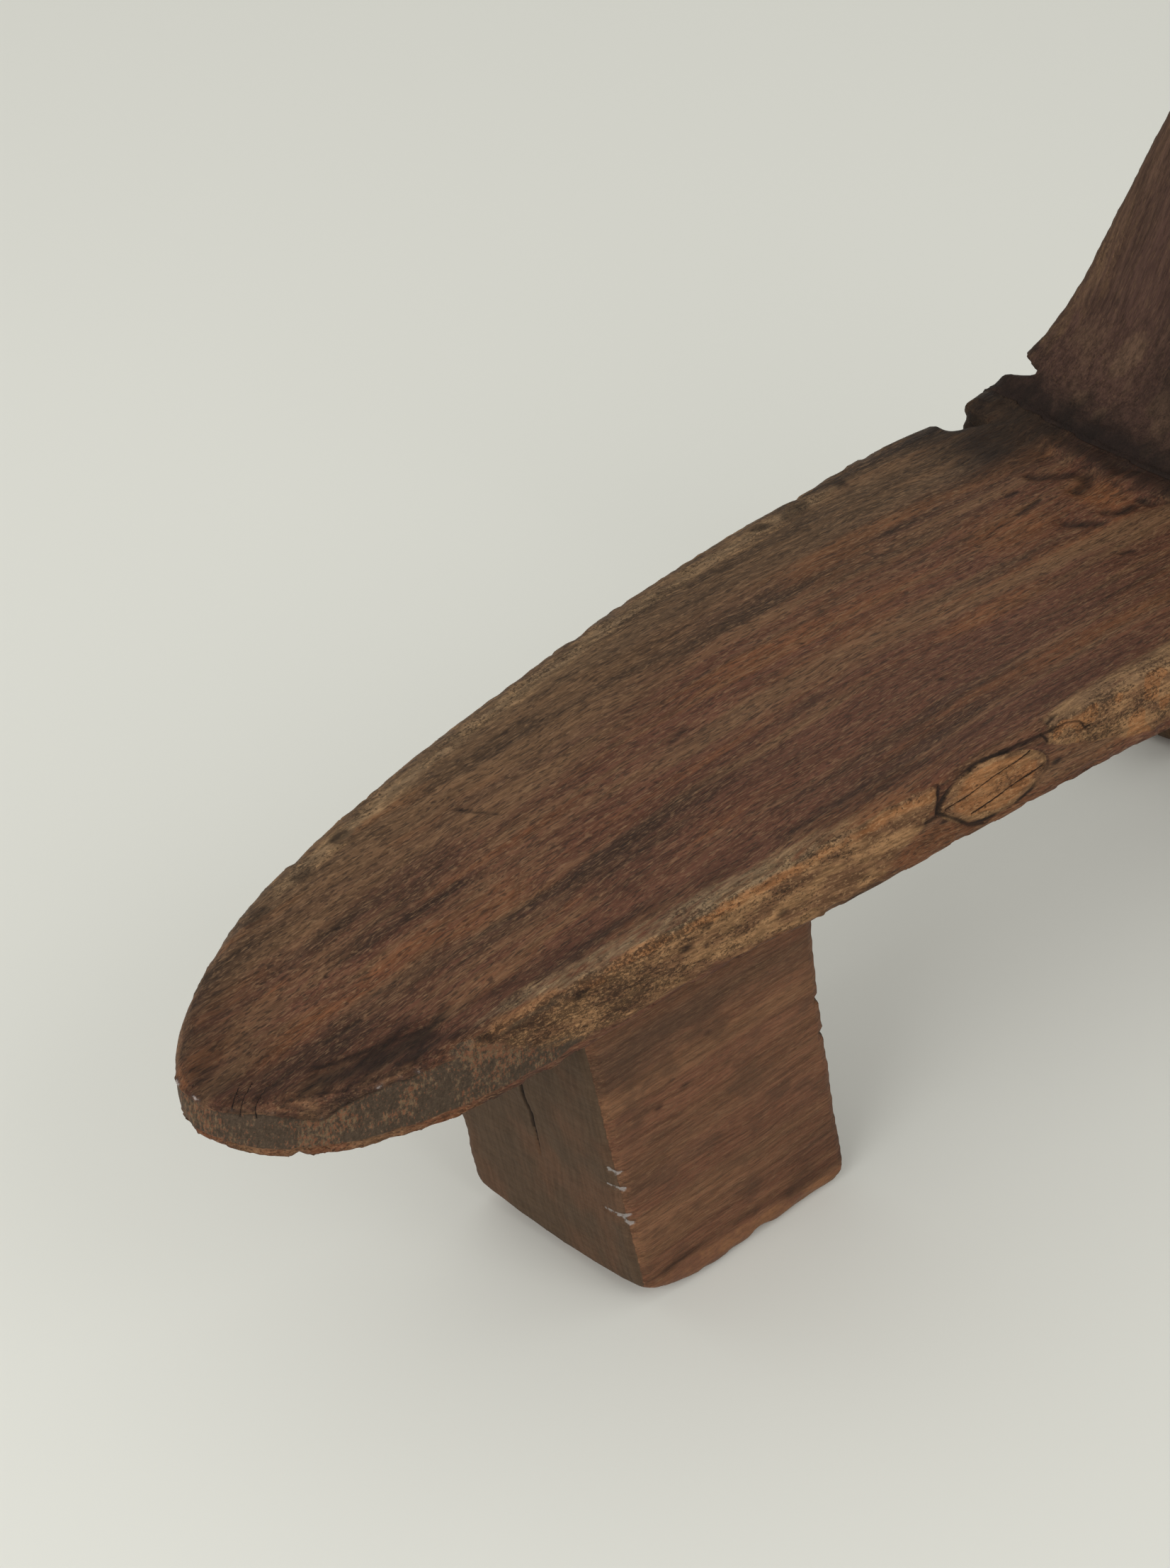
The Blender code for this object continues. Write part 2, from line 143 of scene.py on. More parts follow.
class Value:
    """A shader socket that takes part in Python arithmetic."""

    def __init__(self, finish, socket):
        self.finish = finish
        self.socket = socket

    def math(self, operation, other, swapped=False):
        first, second = (other, self) if swapped else (self, other)
        return self.finish.node("ShaderNodeMath", {"operation": operation}, {0: first, 1: second})

    def __add__(self, other):
        return self.math("ADD", other)

    def __sub__(self, other):
        return self.math("SUBTRACT", other)

    def __rsub__(self, other):
        return self.math("SUBTRACT", other, True)

    def __mul__(self, other):
        return self.math("MULTIPLY", other)

    __radd__ = __add__
    __rmul__ = __mul__

    def __abs__(self):
        return self.finish.node("ShaderNodeMath", {"operation": "ABSOLUTE"}, {0: self})


class Finish:
    """The node tree of one wood finish. Its patterns read the piece's Object coordinates, with the
    grain along Y once they are turned about X."""

    def __init__(self, name, grain_turn=0.0):
        self.material = bpy.data.materials.new(name)
        self.material.use_nodes = True
        self.tree = self.material.node_tree
        self.shader = self.tree.nodes["Principled BSDF"]
        self.shader.inputs["Specular IOR Level"].default_value = WOOD_SPECULAR
        self.shader.inputs["Coat Roughness"].default_value = COAT_ROUGHNESS
        place = self.node("ShaderNodeTexCoord", output="Object")
        turned = self.node("ShaderNodeMapping", {}, {"Vector": place, "Rotation": (grain_turn, 0, 0)})
        drift = self.pattern(turned, DRIFT_SCALE, 0, 1, output="Color")
        curl = self.pattern(turned, CURL_SCALE, 9, 1, output="Color")
        drifted = self.shifted(turned, drift, DRIFT_REACH)
        self.place = self.shifted(drifted, curl, CURL_REACH)

    def node(self, kind, settings=None, inputs=None, output=0):
        made = self.tree.nodes.new(kind)
        for name, value in (settings or {}).items():
            setattr(made, name, value)
        for name, value in (inputs or {}).items():
            if isinstance(value, Value):
                self.tree.links.new(value.socket, made.inputs[name])
            else:
                made.inputs[name].default_value = value
        return Value(self, made.outputs[output])

    def vector(self, operation, *operands):
        return self.node("ShaderNodeVectorMath", {"operation": operation}, dict(enumerate(operands)))

    def shifted(self, place, pattern, reach):
        """The place moved by a colour pattern, at most half the reach either way."""
        centred = self.vector("SUBTRACT", pattern, (0.5, 0.5, 0.5))
        return self.vector("MULTIPLY_ADD", centred, reach, place)

    def pattern(self, place, scale, seed, detail, roughness=0.55, output=0):
        shift = tuple(seed * s for s in PATTERN_STEP)
        spread = self.vector("MULTIPLY_ADD", place, scale, shift)
        inputs = {"Vector": spread, "Scale": 1.0, "Detail": detail, "Roughness": roughness}
        return self.node("ShaderNodeTexNoise", {}, inputs, output)

    def grain(self, across, along, seed, detail=3, layers=1.0):
        """Noise drawn out along the grain: across and along are repeats in a metre."""
        return self.pattern(self.place, (across, along, across * layers), seed, detail)

    def ease(self, value, low, high):
        inputs = {"Value": value, "From Min": low, "From Max": high}
        return self.node("ShaderNodeMapRange", {"interpolation_type": "SMOOTHSTEP"}, inputs)

    def mix(self, first, second, share):
        colours = [(*c, 1.0) if isinstance(c, tuple) else c for c in (first, second)]
        inputs = {0: share, 6: colours[0], 7: colours[1]}
        return self.node("ShaderNodeMix", {"data_type": "RGBA"}, inputs, 2)

    def shade(self, colour, factor):
        return self.node("ShaderNodeVectorMath", {"operation": "SCALE"}, {0: colour, "Scale": factor})

    def mask(self, name):
        settings = {"attribute_type": "GEOMETRY", "attribute_name": name}
        return self.node("ShaderNodeAttribute", settings, {}, "Fac")

    def broken(self, mask, pattern, spread, low=0.35, high=0.65):
        """A mask whose soft edge is torn up by a pattern."""
        return self.ease(mask + (pattern - 0.5) * spread, low, high)

    def line(self, name, width, pattern, spread):
        """A thin line where an attribute that holds a signed distance passes through zero."""
        return self.ease(abs(self.mask(name)) + (pattern - 0.5) * spread, width, width * 0.3)

    def specks(self, repeats, size, share, seed):
        """Small round specks, on a share of the cells."""
        moved = self.vector("ADD", self.place, tuple(seed * s for s in SPECK_STEP))
        settings = {"feature": "F1"}
        inputs = {"Vector": moved, "Scale": repeats}
        distance = self.node("ShaderNodeTexVoronoi", settings, inputs, "Distance")
        pick = self.node("ShaderNodeTexVoronoi", settings, inputs, "Color")
        lot = self.node("ShaderNodeSeparateColor", {}, {0: pick})
        return self.ease(distance, size, size * 0.5) * self.ease(lot, 1 - share, 1 - share + 0.02)

    def finish(self, colour, roughness, coat, height, bump):
        relief = {"Strength": bump, "Distance": BUMP_DEPTH, "Height": height}
        bumped = self.node("ShaderNodeBump", {}, relief)
        wired = {"Base Color": colour, "Roughness": roughness, "Coat Weight": coat, "Normal": bumped}
        for name, value in wired.items():
            self.tree.links.new(value.socket, self.shader.inputs[name])
        return self.material


# Wood finishes

def heartwood(wood, brown, dark, tan, flecks=1.0):
    """Oiled heartwood: soft streaks of colour under short light dashes of fibre and dark pores."""
    zone = wood.grain(22, 2.0, 1, 3)
    streak = wood.grain(95, 3.2, 2, 3, 0.8)
    shadow = wood.grain(60, 2.6, 3, 4, 0.7)
    band = wood.ease(wood.grain(300, 8, 4, 2), 0.36, 0.64)
    fibre = wood.ease(wood.grain(820, 45, 5, 2), 0.36, 0.64)
    dash = wood.ease(wood.grain(900, 110, 6, 1), 0.55, 0.68)
    fleck = wood.ease(wood.grain(1700, 230, 8, 1), 0.55, 0.68)
    pore = wood.ease(wood.grain(950, 120, 7, 1), 0.54, 0.68)
    colour = wood.mix(brown, tan, wood.ease(zone * 0.45 + streak * 0.55, 0.46, 0.64) * 0.8)
    colour = wood.mix(colour, dark, wood.ease(shadow, 0.47, 0.70) * 0.75)
    colour = wood.shade(colour, 0.68 + band * 0.32 + fibre * 0.32)
    colour = wood.mix(colour, FIBRE_LIGHT, dash * (0.30 * flecks) + fleck * (0.26 * flecks))
    colour = wood.mix(colour, dark, pore * (0.60 * flecks))
    return colour, fibre * 0.4 + dash * 0.6 - pore * 0.8


def sapwood(wood, grey, orange, pits):
    """Pale sapwood: warm tan with brown clouds, grey, orange or pitted where asked, under straw flecks."""
    cloud = wood.grain(100, 34, 11, 4)
    fibre = wood.ease(wood.grain(700, 110, 12, 2), 0.34, 0.66)
    streak = wood.ease(wood.grain(420, 12, 17, 3), 0.38, 0.62)
    straw = wood.ease(wood.grain(820, 300, 15, 2), 0.54, 0.68)
    pit = wood.pattern(wood.place, (820, 420, 820), 13, 3, 0.75)
    blot = wood.grain(85, 30, 14, 4)
    colour = wood.mix(SAP_TAN, SAP_BROWN, wood.ease(cloud, 0.40, 0.60))
    colour = wood.mix(colour, SAP_GREY, grey)
    colour = wood.mix(colour, SAP_ORANGE, orange)
    colour = wood.shade(colour, 0.62 + fibre * 0.36 + streak * 0.40)
    colour = wood.mix(colour, SAP_STRAW, straw * 0.40)
    black = wood.ease(pit * 0.65 + blot * 0.35 + (pits - 0.4) * 0.15, 0.50, 0.60)
    colour = wood.mix(colour, STAIN_AND_SHADE_BLACK, black * 0.68)
    return colour, fibre * 0.7 - black * 0.8


def under_stains_and_shade(wood, colour, tear, strength):
    """The colour under black age stains and painted shade, torn up along the grain."""
    stain_and_shade = wood.broken(wood.mask("stain_and_shade"), tear, 0.8, 0.15, 0.95)
    return wood.mix(colour, STAIN_AND_SHADE_BLACK, stain_and_shade * strength)


def end_wood(wood):
    """Weathered end grain: olive-grey with tan and rust patches, finely speckled."""
    patch = wood.pattern(wood.place, (38, 30, 38), 22, 4, 0.65)
    mottle = wood.pattern(wood.place, (520, 460, 240), 28, 4, 0.7)
    fine = wood.pattern(wood.place, (900, 800, 480), 26, 2, 0.6)
    colour = wood.mix(END_OLIVE, END_TAN, wood.ease(mottle * 0.5 + patch * 0.5, 0.48, 0.58) * 0.75)
    colour = wood.mix(colour, RUST, wood.ease(fine * 0.55 + patch * 0.45, 0.50, 0.58) * 0.75)
    colour = wood.shade(colour, mottle * 0.9 + fine * 0.8)
    return colour, fine


def seat_finish():
    wood = Finish("seat_oiled_wood")
    brown = wood.mix(HEART_OLIVE, HEART_RED, wood.mask("ruddy"))
    glow = wood.ease(wood.grain(55, 2.2, 16, 3), 0.50, 0.66)
    brown = wood.mix(brown, HEART_ORANGE, glow * 0.5)
    brown = wood.mix(brown, HEART_ORANGE, wood.mask("amber"))
    colour, height = heartwood(wood, brown, HEART_DARK, HEART_TAN)
    tear = wood.grain(170, 34, 21, 4)
    fray = wood.grain(420, 90, 29, 3)
    raw = wood.broken(wood.mask("raw"), tear, 0.5)
    raw_colour, raw_height = end_wood(wood)
    colour = wood.mix(colour, raw_colour, raw)
    orange = wood.broken(wood.mask("orange"), tear, 1.5, 0.40, 0.80)
    pale_colour, pale_height = sapwood(wood, wood.mask("grey"), orange * 0.55, wood.mask("pits"))
    strand = wood.grain(420, 14, 30, 3)
    pale = wood.broken(wood.mask("pale"), tear * 0.3 + strand * 0.4 + fray * 0.3, 2.6, 0.20, 0.80)
    colour = wood.mix(colour, pale_colour, pale)
    colour = under_stains_and_shade(wood, colour, tear, 0.85)
    outline = wood.line("oval", width=0.0013, pattern=fray, spread=0.0018) * wood.mask("inked")
    split = wood.line("split", width=0.0007, pattern=fray, spread=0.0008)
    colour = wood.mix(colour, STAIN_AND_SHADE_BLACK, outline * 0.9)
    colour = wood.mix(colour, STAIN_AND_SHADE_BLACK, split * 0.95)
    # The mask of wear also holds painted highlights: where it is strong, mostly on the tip's lip, light
    # grey glints are mixed into the colour
    worn = wood.mask("worn")
    painted_glint = wood.broken(worn, fray, 1.6, 0.66, 1.0)
    colour = wood.mix(colour, GLINT_HIGHLIGHT, painted_glint * 0.55)
    dust = wood.specks(repeats=46, size=0.022, share=0.10, seed=3)
    colour = wood.mix(colour, DUST, dust * 0.6)
    roughness = 0.52 + pale * 0.16 + raw * 0.1 - worn * 0.12 + (tear - 0.5) * 0.16
    relief = height + pale_height * pale + raw_height * raw
    return wood.finish(colour, roughness, worn * 0.4, relief, bump=0.6)


def backrest_finish():
    wood = Finish("backrest_oiled_wood", -BACK_LEAN)
    tear = wood.grain(120, 22, 23, 5)
    patch = wood.ease(wood.mask("amber") + (wood.grain(60, 18, 31, 3) - 0.5) * 1.4, 0.15, 0.75)
    brown = wood.mix(BACK_BROWN, BACK_TAN, patch)
    colour, height = heartwood(wood, brown, HEART_DARK, BACK_TAN, flecks=0.45)
    # Painted shade: the whole back is darkened
    colour = wood.shade(colour, 0.66)
    pale_colour, pale_height = sapwood(wood, wood.mask("grey"), orange=0.1, pits=0.4)
    pale = wood.broken(wood.mask("pale"), tear * 0.4 + wood.grain(240, 9, 30, 3) * 0.6, 1.7, 0.15, 0.85)
    colour = wood.mix(colour, pale_colour, pale * 0.6)
    colour = under_stains_and_shade(wood, colour, tear, 0.85)
    worn = wood.mask("worn")
    roughness = 0.54 + pale * 0.12 - worn * 0.1 + (tear - 0.5) * 0.16
    return wood.finish(colour, roughness, worn * 0.3, height + pale_height * pale, bump=0.6)


def leg_finish(name):
    wood = Finish(name)
    colour, height = heartwood(wood, LEG_RED, LEG_DARK, LEG_TAN, flecks=0.65)
    cloud = wood.pattern(wood.place, (55, 34, 55), 33, 4)
    colour = wood.mix(colour, LEG_DARK, wood.ease(cloud, 0.52, 0.68) * 0.5)
    tear = wood.grain(120, 24, 24, 4)
    fray = wood.grain(420, 160, 29, 3)
    raw = wood.broken(wood.mask("raw"), tear, 0.4)
    rings = wood.pattern(wood.place, (60, 30, 420), 25, 3, 0.6)
    soft = wood.pattern(wood.place, (26, 12, 16), 27, 3)
    fine = wood.pattern(wood.place, (900, 400, 900), 32, 2)
    ray = wood.ease(wood.pattern(wood.place, (520, 60, 46), 34, 3), 0.36, 0.64)
    raw_colour = wood.mix(LEG_END, RUST, wood.ease(soft, 0.44, 0.64) * 0.25)
    raw_colour = wood.shade(raw_colour, 0.34 + rings * 0.6 + fine * 0.5 + ray * 0.22)
    colour = wood.mix(colour, raw_colour, raw)
    worn = wood.broken(wood.mask("worn"), tear * 0.6 + fray * 0.4, 1.9)
    worn_colour = wood.shade(wood.mix(WORN_TAN, RUST, wood.ease(cloud, 0.42, 0.60)), 0.55 + fine * 0.9)
    colour = wood.mix(colour, worn_colour, worn * 0.60)
    colour = under_stains_and_shade(wood, colour, tear, 0.7)
    split = wood.line("split", width=0.0009, pattern=fray, spread=0.0010)
    colour = wood.mix(colour, STAIN_AND_SHADE_BLACK, split * 0.95)
    # Painted highlights: light grey glints on the chips along the near front edge
    chip_glint = wood.broken(wood.mask("chip_glint"), fray, 2.2, 0.55, 0.95)
    colour = wood.mix(colour, GLINT_GREY, chip_glint * 0.5)
    roughness = 0.56 + raw * 0.08 + (tear - 0.5) * 0.14
    relief = height * (1.0 - raw) + (rings + fine) * raw
    return wood.finish(colour, roughness, worn * 0.15, relief, bump=0.5)


# Carving kit

TOP = [0, 1]
SIDE = [1, 2]
FRONT = [0, 2]
SPACE = [0, 1, 2]
UPRIGHT = [2, 0]

# Width of the bins in which a piece's outline is read, and rounds of smoothing that find its ridges
BIN_WIDTH = 0.008
RIDGE_ROUNDS = 14

# Depths shared by the pieces: gouges at the crease, and how far its two sides run into each other
GOUGE_DEPTH = 0.0016
SEAM_OVERLAP = 0.0012


def fine_copy(node, spacing):
    """A fine even mesh of a solid, to be carved."""
    bm = bmesh.new()
    bm.from_mesh(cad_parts[node].data)
    bmesh.ops.remove_doubles(bm, verts=bm.verts[:], dist=1e-5)
    mesh = bpy.data.meshes.new(node + "_carved")
    bm.to_mesh(mesh)
    bm.free()
    piece = bpy.data.objects.new(node + "_carved", mesh)
    bpy.context.scene.collection.objects.link(piece)
    remesh = piece.modifiers.new("even", "REMESH")
    remesh.mode = "VOXEL"
    remesh.voxel_size = spacing
    graph = bpy.context.evaluated_depsgraph_get()
    even = bpy.data.meshes.new_from_object(piece.evaluated_get(graph))
    piece.modifiers.clear()
    piece.data = even
    even.materials.clear()
    even.shade_smooth()
    return piece


def split_faces(piece, origin, chosen):
    """Halve the mesh spacing on the faces whose centre, counted from the origin, and normal are chosen."""
    bm = bmesh.new()
    bm.from_mesh(piece.data)
    edges = {e for f in bm.faces if chosen(f.calc_center_median() - origin, f.normal) for e in f.edges}
    bmesh.ops.subdivide_edges(bm, edges=list(edges), cuts=1, use_grid_fill=True)
    bm.to_mesh(piece.data)
    bm.free()


def step(low, high, values):
    """Smooth rise from 0 at low to 1 at high; a fall where low is the greater."""
    t = np.clip((values - low) / (high - low), 0, 1)
    return t * t * (3 - 2 * t)


def between(low, high, soft, values):
    """1 from low to high, with soft ends."""
    return step(low - soft, low + soft, values) * step(high + soft, high - soft, values)


def follow(points, values):
    """The second coordinate of a line of points, read at values of the first."""
    return np.interp(values, *zip(*points))


def envelope(at, values, pick):
    """Places and the greatest or least value in bins along an axis."""
    bins = np.floor(at / BIN_WIDTH).astype(int)
    return [((b + 0.5) * BIN_WIDTH, pick(values[bins == b])) for b in np.unique(bins)]


class Carving:
    """The vertices of a piece as arrays, with the tools that move them and the masks left behind.
    Places are counted from the origin."""

    def __init__(self, piece, origin, seed):
        self.piece = piece
        self.seed = seed
        mesh = piece.data
        count = len(mesh.vertices)
        points = np.empty(count * 3, np.float32)
        mesh.vertices.foreach_get("co", points)
        self.rest = points.reshape(-1, 3).astype(float)
        self.at = self.rest - np.array(origin)
        pairs = np.empty(len(mesh.edges) * 2, np.int32)
        mesh.edges.foreach_get("vertices", pairs)
        self.edges = pairs.reshape(-1, 2)
        self.ties = np.bincount(pairs, minlength=count)[:, None]
        self.normal = np.array([v.normal[:] for v in mesh.vertices])
        self.ridge = ((self.rest - self.smoothed(self.rest, RIDGE_ROUNDS)) * self.normal).sum(1)
        self.move = np.zeros(count)
        self.slid = np.zeros((count, 3))
        self.masks = {}

    def smoothed(self, values, rounds):
        for _ in range(rounds):
            total = np.zeros_like(values)
            np.add.at(total, self.edges[:, 0], values[self.edges[:, 1]])
            np.add.at(total, self.edges[:, 1], values[self.edges[:, 0]])
            values = 0.5 * values + 0.5 * total / self.ties
        return values

    def scattered(self, size, seed, stretch):
        """The vertices as places in noise whose swells have the given size."""
        places = self.rest / (np.array(stretch) * size) + (seed + self.seed) * CARVING_STEP
        return [Vector(p) for p in places]

    def ripple(self, size, seed, stretch=(1, 1, 1)):
        """Smooth noise from about -1 to 1."""
        return np.array([noise.noise(p) for p in self.scattered(size, seed, stretch)]) * 1.6

    def scoops(self, size, seed, stretch=(1, 1, 1)):
        """Shallow scoops side by side, 0 in the middle of each and rising to ridges between them."""
        places = self.scattered(size, seed, stretch)
        return np.array([min(noise.voronoi(p)[0][0], 1.0) ** 2 for p in places])

    def strip(self, axes, a, b, width):
        """1 on the line from a to b, seen along the axes left out, falling to 0 at the width from it."""
        points = self.at[:, axes]
        a, b = np.array(a), np.array(b)
        along = np.clip((points - a) @ (b - a) / ((b - a) @ (b - a)), 0, 1)
        distance = np.linalg.norm(points - a - along[:, None] * (b - a), axis=1)
        return step(width, 0.0, distance)

    def path(self, axes, points, width):
        return np.max([self.strip(axes, a, b, width) for a, b in zip(points, points[1:])], axis=0)

    def spot(self, axes, centre, radii, turn=0.0):
        """Distance from an ellipse's middle, 1 on its outline."""
        u, v = (self.at[:, axes] - np.array(centre)).T
        c, s = math.cos(turn), math.sin(turn)
        return np.hypot((u * c + v * s) / radii[0], (v * c - u * s) / radii[1])

    def mark(self, name, values):
        """Raise a mask where the values are greater."""
        before = self.masks.get(name, np.zeros(len(self.rest)))
        self.masks[name] = np.maximum(before, np.clip(values, 0, 1))

    def set_distance(self, name, where, distance):
        """Keep a signed distance where it is the nearest so far, and a great one elsewhere."""
        before = self.masks.get(name, np.ones(len(self.rest)))
        nearer = where & (np.abs(distance) < np.abs(before))
        self.masks[name] = np.where(nearer, distance, before)

    def split(self, axes, points, where, depth, width):
        """A crack through points that lie one behind another along the first axis."""
        u, v = self.at[:, axes].T
        us = [p[0] for p in points]
        reach = where & (u > min(us)) & (u < max(us))
        offset = v - follow(sorted(points), u)
        self.set_distance("split", reach, offset)
        self.press(depth * step(width, 0.0, np.abs(offset)) * reach)

    def press(self, depth):
        self.move -= depth

    def slide(self, axis, distance):
        self.slid[:, axis] += distance

    def round_edge(self, behind, height, radius):
        """Round off a lower rear edge: what lies beyond a circle about a middle line comes back onto it."""
        u, v = (self.at[:, SIDE] - np.array((behind, height))).T
        reach = np.hypot(u, v)
        beyond = (u > 0) & (v < 0) & (reach > radius)
        share = np.where(beyond, radius / np.maximum(reach, radius) - 1, 0)
        self.slide(1, u * share)
        self.slide(2, v * share)

    def apply(self, names, distances=()):
        points = self.rest + self.move[:, None] * self.normal + self.slid
        points[:, 2] = np.maximum(points[:, 2], 0.0)
        mesh = self.piece.data
        mesh.vertices.foreach_set("co", points.astype(np.float32).ravel())
        for name in (*names, *distances):
            empty = np.ones(len(self.rest)) if name in distances else np.zeros(len(self.rest))
            layer = mesh.attributes.new(name, "FLOAT", "POINT")
            layer.data.foreach_set("value", self.masks.get(name, empty).astype(np.float32))
        mesh.shade_smooth()
        mesh.update()


def wear(carving, swell, hew, hewn, chip_depth, free):
    """Hand-worked unevenness where the surface is free: long swells, scoops of the adze where hewn,
    and chipped ridges."""
    carving.press(-swell * free * carving.ripple(0.085, 1))
    carving.press(-swell * 0.35 * free * carving.ripple(0.022, 2, (1, 2, 1)))
    carving.press(hew * hewn * free * (0.5 - carving.scoops(0.020, 3, (1, 1.7, 1))))
    sharp = step(0.0004, 0.0018, carving.ridge) * free
    chips = step(0.30, 0.80, carving.ripple(0.009, 4, (1, 1.6, 1)))
    carving.press(chip_depth * sharp * chips)
    carving.press(0.0004 * sharp * carving.ripple(0.006, 5))
    carving.mark("worn", 0.25 * sharp * step(-0.2, 0.8, carving.ripple(0.030, 6, (1, 3, 1))))


# Seat: places are x, the distance behind the tip, and the height above the seat's lowest point

GREY_INNER = (
    (0.0900, 0.0640), (0.1075, 0.0680), (0.1486, 0.0757), (0.2120, 0.0854), (0.2781, 0.0952),
    (0.3482, 0.1052), (0.3925, 0.1150),
)
ORANGE_RIDGE = (
    (0.0770, 0.1051, 0.0490), (0.0881, 0.1544, 0.0565), (0.0962, 0.2009, 0.0613),
    (0.1032, 0.2426, 0.0632), (0.1091, 0.2926, 0.0689), (0.1157, 0.3478, 0.0718),
    (0.1190, 0.3875, 0.0742),
)
SAP_LOWER = (
    (0.0975, 0.0482), (0.1175, 0.0422), (0.1355, 0.0344), (0.1699, 0.0276), (0.2208, 0.0296),
    (0.2410, 0.0344), (0.3020, 0.0312), (0.3400, 0.0380), (0.3624, 0.0486), (0.3743, 0.0535),
    (0.3824, 0.0607), (0.3895, 0.0698),
)
SAP_END = 0.3897
FAR_FULLER = (
    (0.0, 0.0006), (0.1500, 0.0012), (0.2200, 0.0030), (0.3700, 0.0034), (0.4500, 0.0044),
    (0.6000, 0.0034), (0.6600, 0.0012), (0.7200, 0.0),
)
DARK_STRIP = ((0.0400, 0.0560), (0.1200, 0.0600), (0.2075, 0.0755), (0.3475, 0.0930), (0.4975, 0.1055))
SIDE_BLOTS = (
    (0.1625, 0.0530), (0.2254, 0.0518), (0.2873, 0.0466), (0.1117, 0.0483), (0.2386, 0.0596),
    (0.3970, 0.0556), (0.4780, 0.0590),
)
OVAL_CENTRE = (0.4308, 0.0629)
OVAL_RADII = (0.0395, 0.0167)
OVAL_TURN = math.radians(-3)
OVAL_CRACKS = (
    ((0.3954, 0.0621), (0.4121, 0.0643), (0.4297, 0.0685), (0.4477, 0.0711), (0.4580, 0.0735)),
    ((0.4150, 0.0520), (0.4311, 0.0543), (0.4473, 0.0576), (0.4690, 0.0605)),
)
ZONE_LINES = (
    ((0.3926, 0.0779), (0.3905, 0.0737), (0.3899, 0.0652), (0.3894, 0.0608), (0.3824, 0.0600)),
    ((0.3905, 0.0624), (0.4061, 0.0524), (0.4136, 0.0477), (0.4248, 0.0448)),
    ((0.4368, 0.0797), (0.4485, 0.0793), (0.4666, 0.0791), (0.4696, 0.0745)),
)
WORM_UPPER = ((0.4533, 0.1250), (0.4695, 0.1212), (0.4905, 0.1179), (0.5297, 0.1173), (0.5874, 0.1173))
WORM_LOWER = ((0.4738, 0.0706), (0.5035, 0.0610), (0.5340, 0.0527), (0.5546, 0.0491), (0.5663, 0.0523))
WORM_TRACKS = (
    (SIDE, ((0.4666, 0.0791), (0.4852, 0.0793), (0.4942, 0.0769), (0.4984, 0.0715), (0.5022, 0.0715))),
    (TOP, ((0.1242, 0.4730), (0.1212, 0.4893))),
)
TIP_RIDGE = (
    (-0.0212, 0.0079, 0.0258), (-0.0115, 0.0039, 0.0266), (0.0051, 0.0040, 0.0269),
    (0.0198, 0.0086, 0.0281), (0.0314, 0.0171, 0.0295), (0.0417, 0.0265, 0.0273),
    (0.0486, 0.0357, 0.0238), (0.0527, 0.0416, 0.0280), (0.0562, 0.0481, 0.0323),
    (0.0629, 0.0610, 0.0369), (0.0685, 0.0734, 0.0398), (0.0750, 0.0897, 0.0433),
)
TIP_CRACKS = (
    ((0.0110, 0.0199), (0.0163, 0.0125), (0.0190, 0.0085)),
    ((0.0132, 0.0266), (0.0209, 0.0132), (0.0235, 0.0095)),
    ((0.0220, 0.0292), (0.0270, 0.0164), (0.0300, 0.0135)),
    ((-0.0080, 0.0120), (-0.0060, 0.0045)),
)
TIP_CHIP = (0.0430, 0.0280, 0.0020)
HOLLOW_RIM = (
    (0.0312, 0.0492), (0.0370, 0.0576), (0.0410, 0.0675), (0.0467, 0.0812), (0.0524, 0.0931),
    (0.0572, 0.1061),
)
HOLLOW_MIDDLE = ((0.0420, 0.0470), (0.0480, 0.0590), (0.0520, 0.0710), (0.0560, 0.0830), (0.0585, 0.0940))
TOP_MARKS = (
    (((0.0219, 0.0632), (0.0232, 0.0731), (0.0243, 0.0842)), 0.0036, 0.0005),
    (((-0.0555, 0.2200), (-0.0370, 0.2315)), 0.0032, 0.0004),
    (((-0.0120, 0.3300), (-0.0195, 0.3525)), 0.0036, 0.0004),
    (((-0.0342, 0.6116), (-0.0400, 0.6388), (-0.0427, 0.6635), (-0.0448, 0.6841)), 0.0034, 0.0008),
    (((-0.0650, 0.7032), (-0.0572, 0.7144), (-0.0478, 0.7318)), 0.0100, 0.0022),
    (((-0.0455, 0.7307), (-0.0381, 0.7202), (-0.0376, 0.7104)), 0.0110, 0.0022),
    (((-0.0167, 0.6724), (-0.0107, 0.6801), (-0.0057, 0.6880)), 0.0095, 0.0016),
    (((-0.0099, 0.7009), (-0.0043, 0.7118), (-0.0032, 0.7197)), 0.0085, 0.0016),
    (((-0.0042, 0.7284), (0.0024, 0.7306), (0.0066, 0.7378)), 0.0085, 0.0016),
    (((0.0288, 0.6658), (0.0312, 0.6733)), 0.0050, 0.0008),
    (((-0.0600, 0.6708), (-0.0600, 0.6797)), 0.0046, 0.0008),
)
TOP_SPOTS = (
    (0.0370, 0.2525, 0.0030), (0.0045, 0.3050, 0.0030), (-0.0120, 0.0940, 0.0030),
    (-0.0305, 0.4550, 0.0036), (0.0505, 0.4775, 0.0060), (-0.0420, 0.3600, 0.0050),
    (-0.0330, 0.1208, 0.0040),
)
AMBER_PATCHES = (
    (-0.0330, 0.6400, 0.0280, 0.0500), (0.0200, 0.5600, 0.0120, 0.0700),
    (-0.0750, 0.5300, 0.0140, 0.0600), (-0.0250, 0.7150, 0.0300, 0.0220),
)
BLOT_RADII = (0.008, 0.004)
RIDGE_WIDTH = 0.0090
EDGE_NICK = 0.0016
LOWER_REAR_EDGE = 0.0026
LOWER_TIP_EDGE = 0.0015
FAR_SWELL = 0.0020
FAR_DRAWN_IN = 0.0010
OVAL_GROOVE = 0.0004
OVAL_CRACK = 0.0012
ZONE_GROOVE = 0.0007
WORM_WIDTH = 0.0016
WORM_DEPTH = 0.0008
FLANK_DEPTH = 0.0012
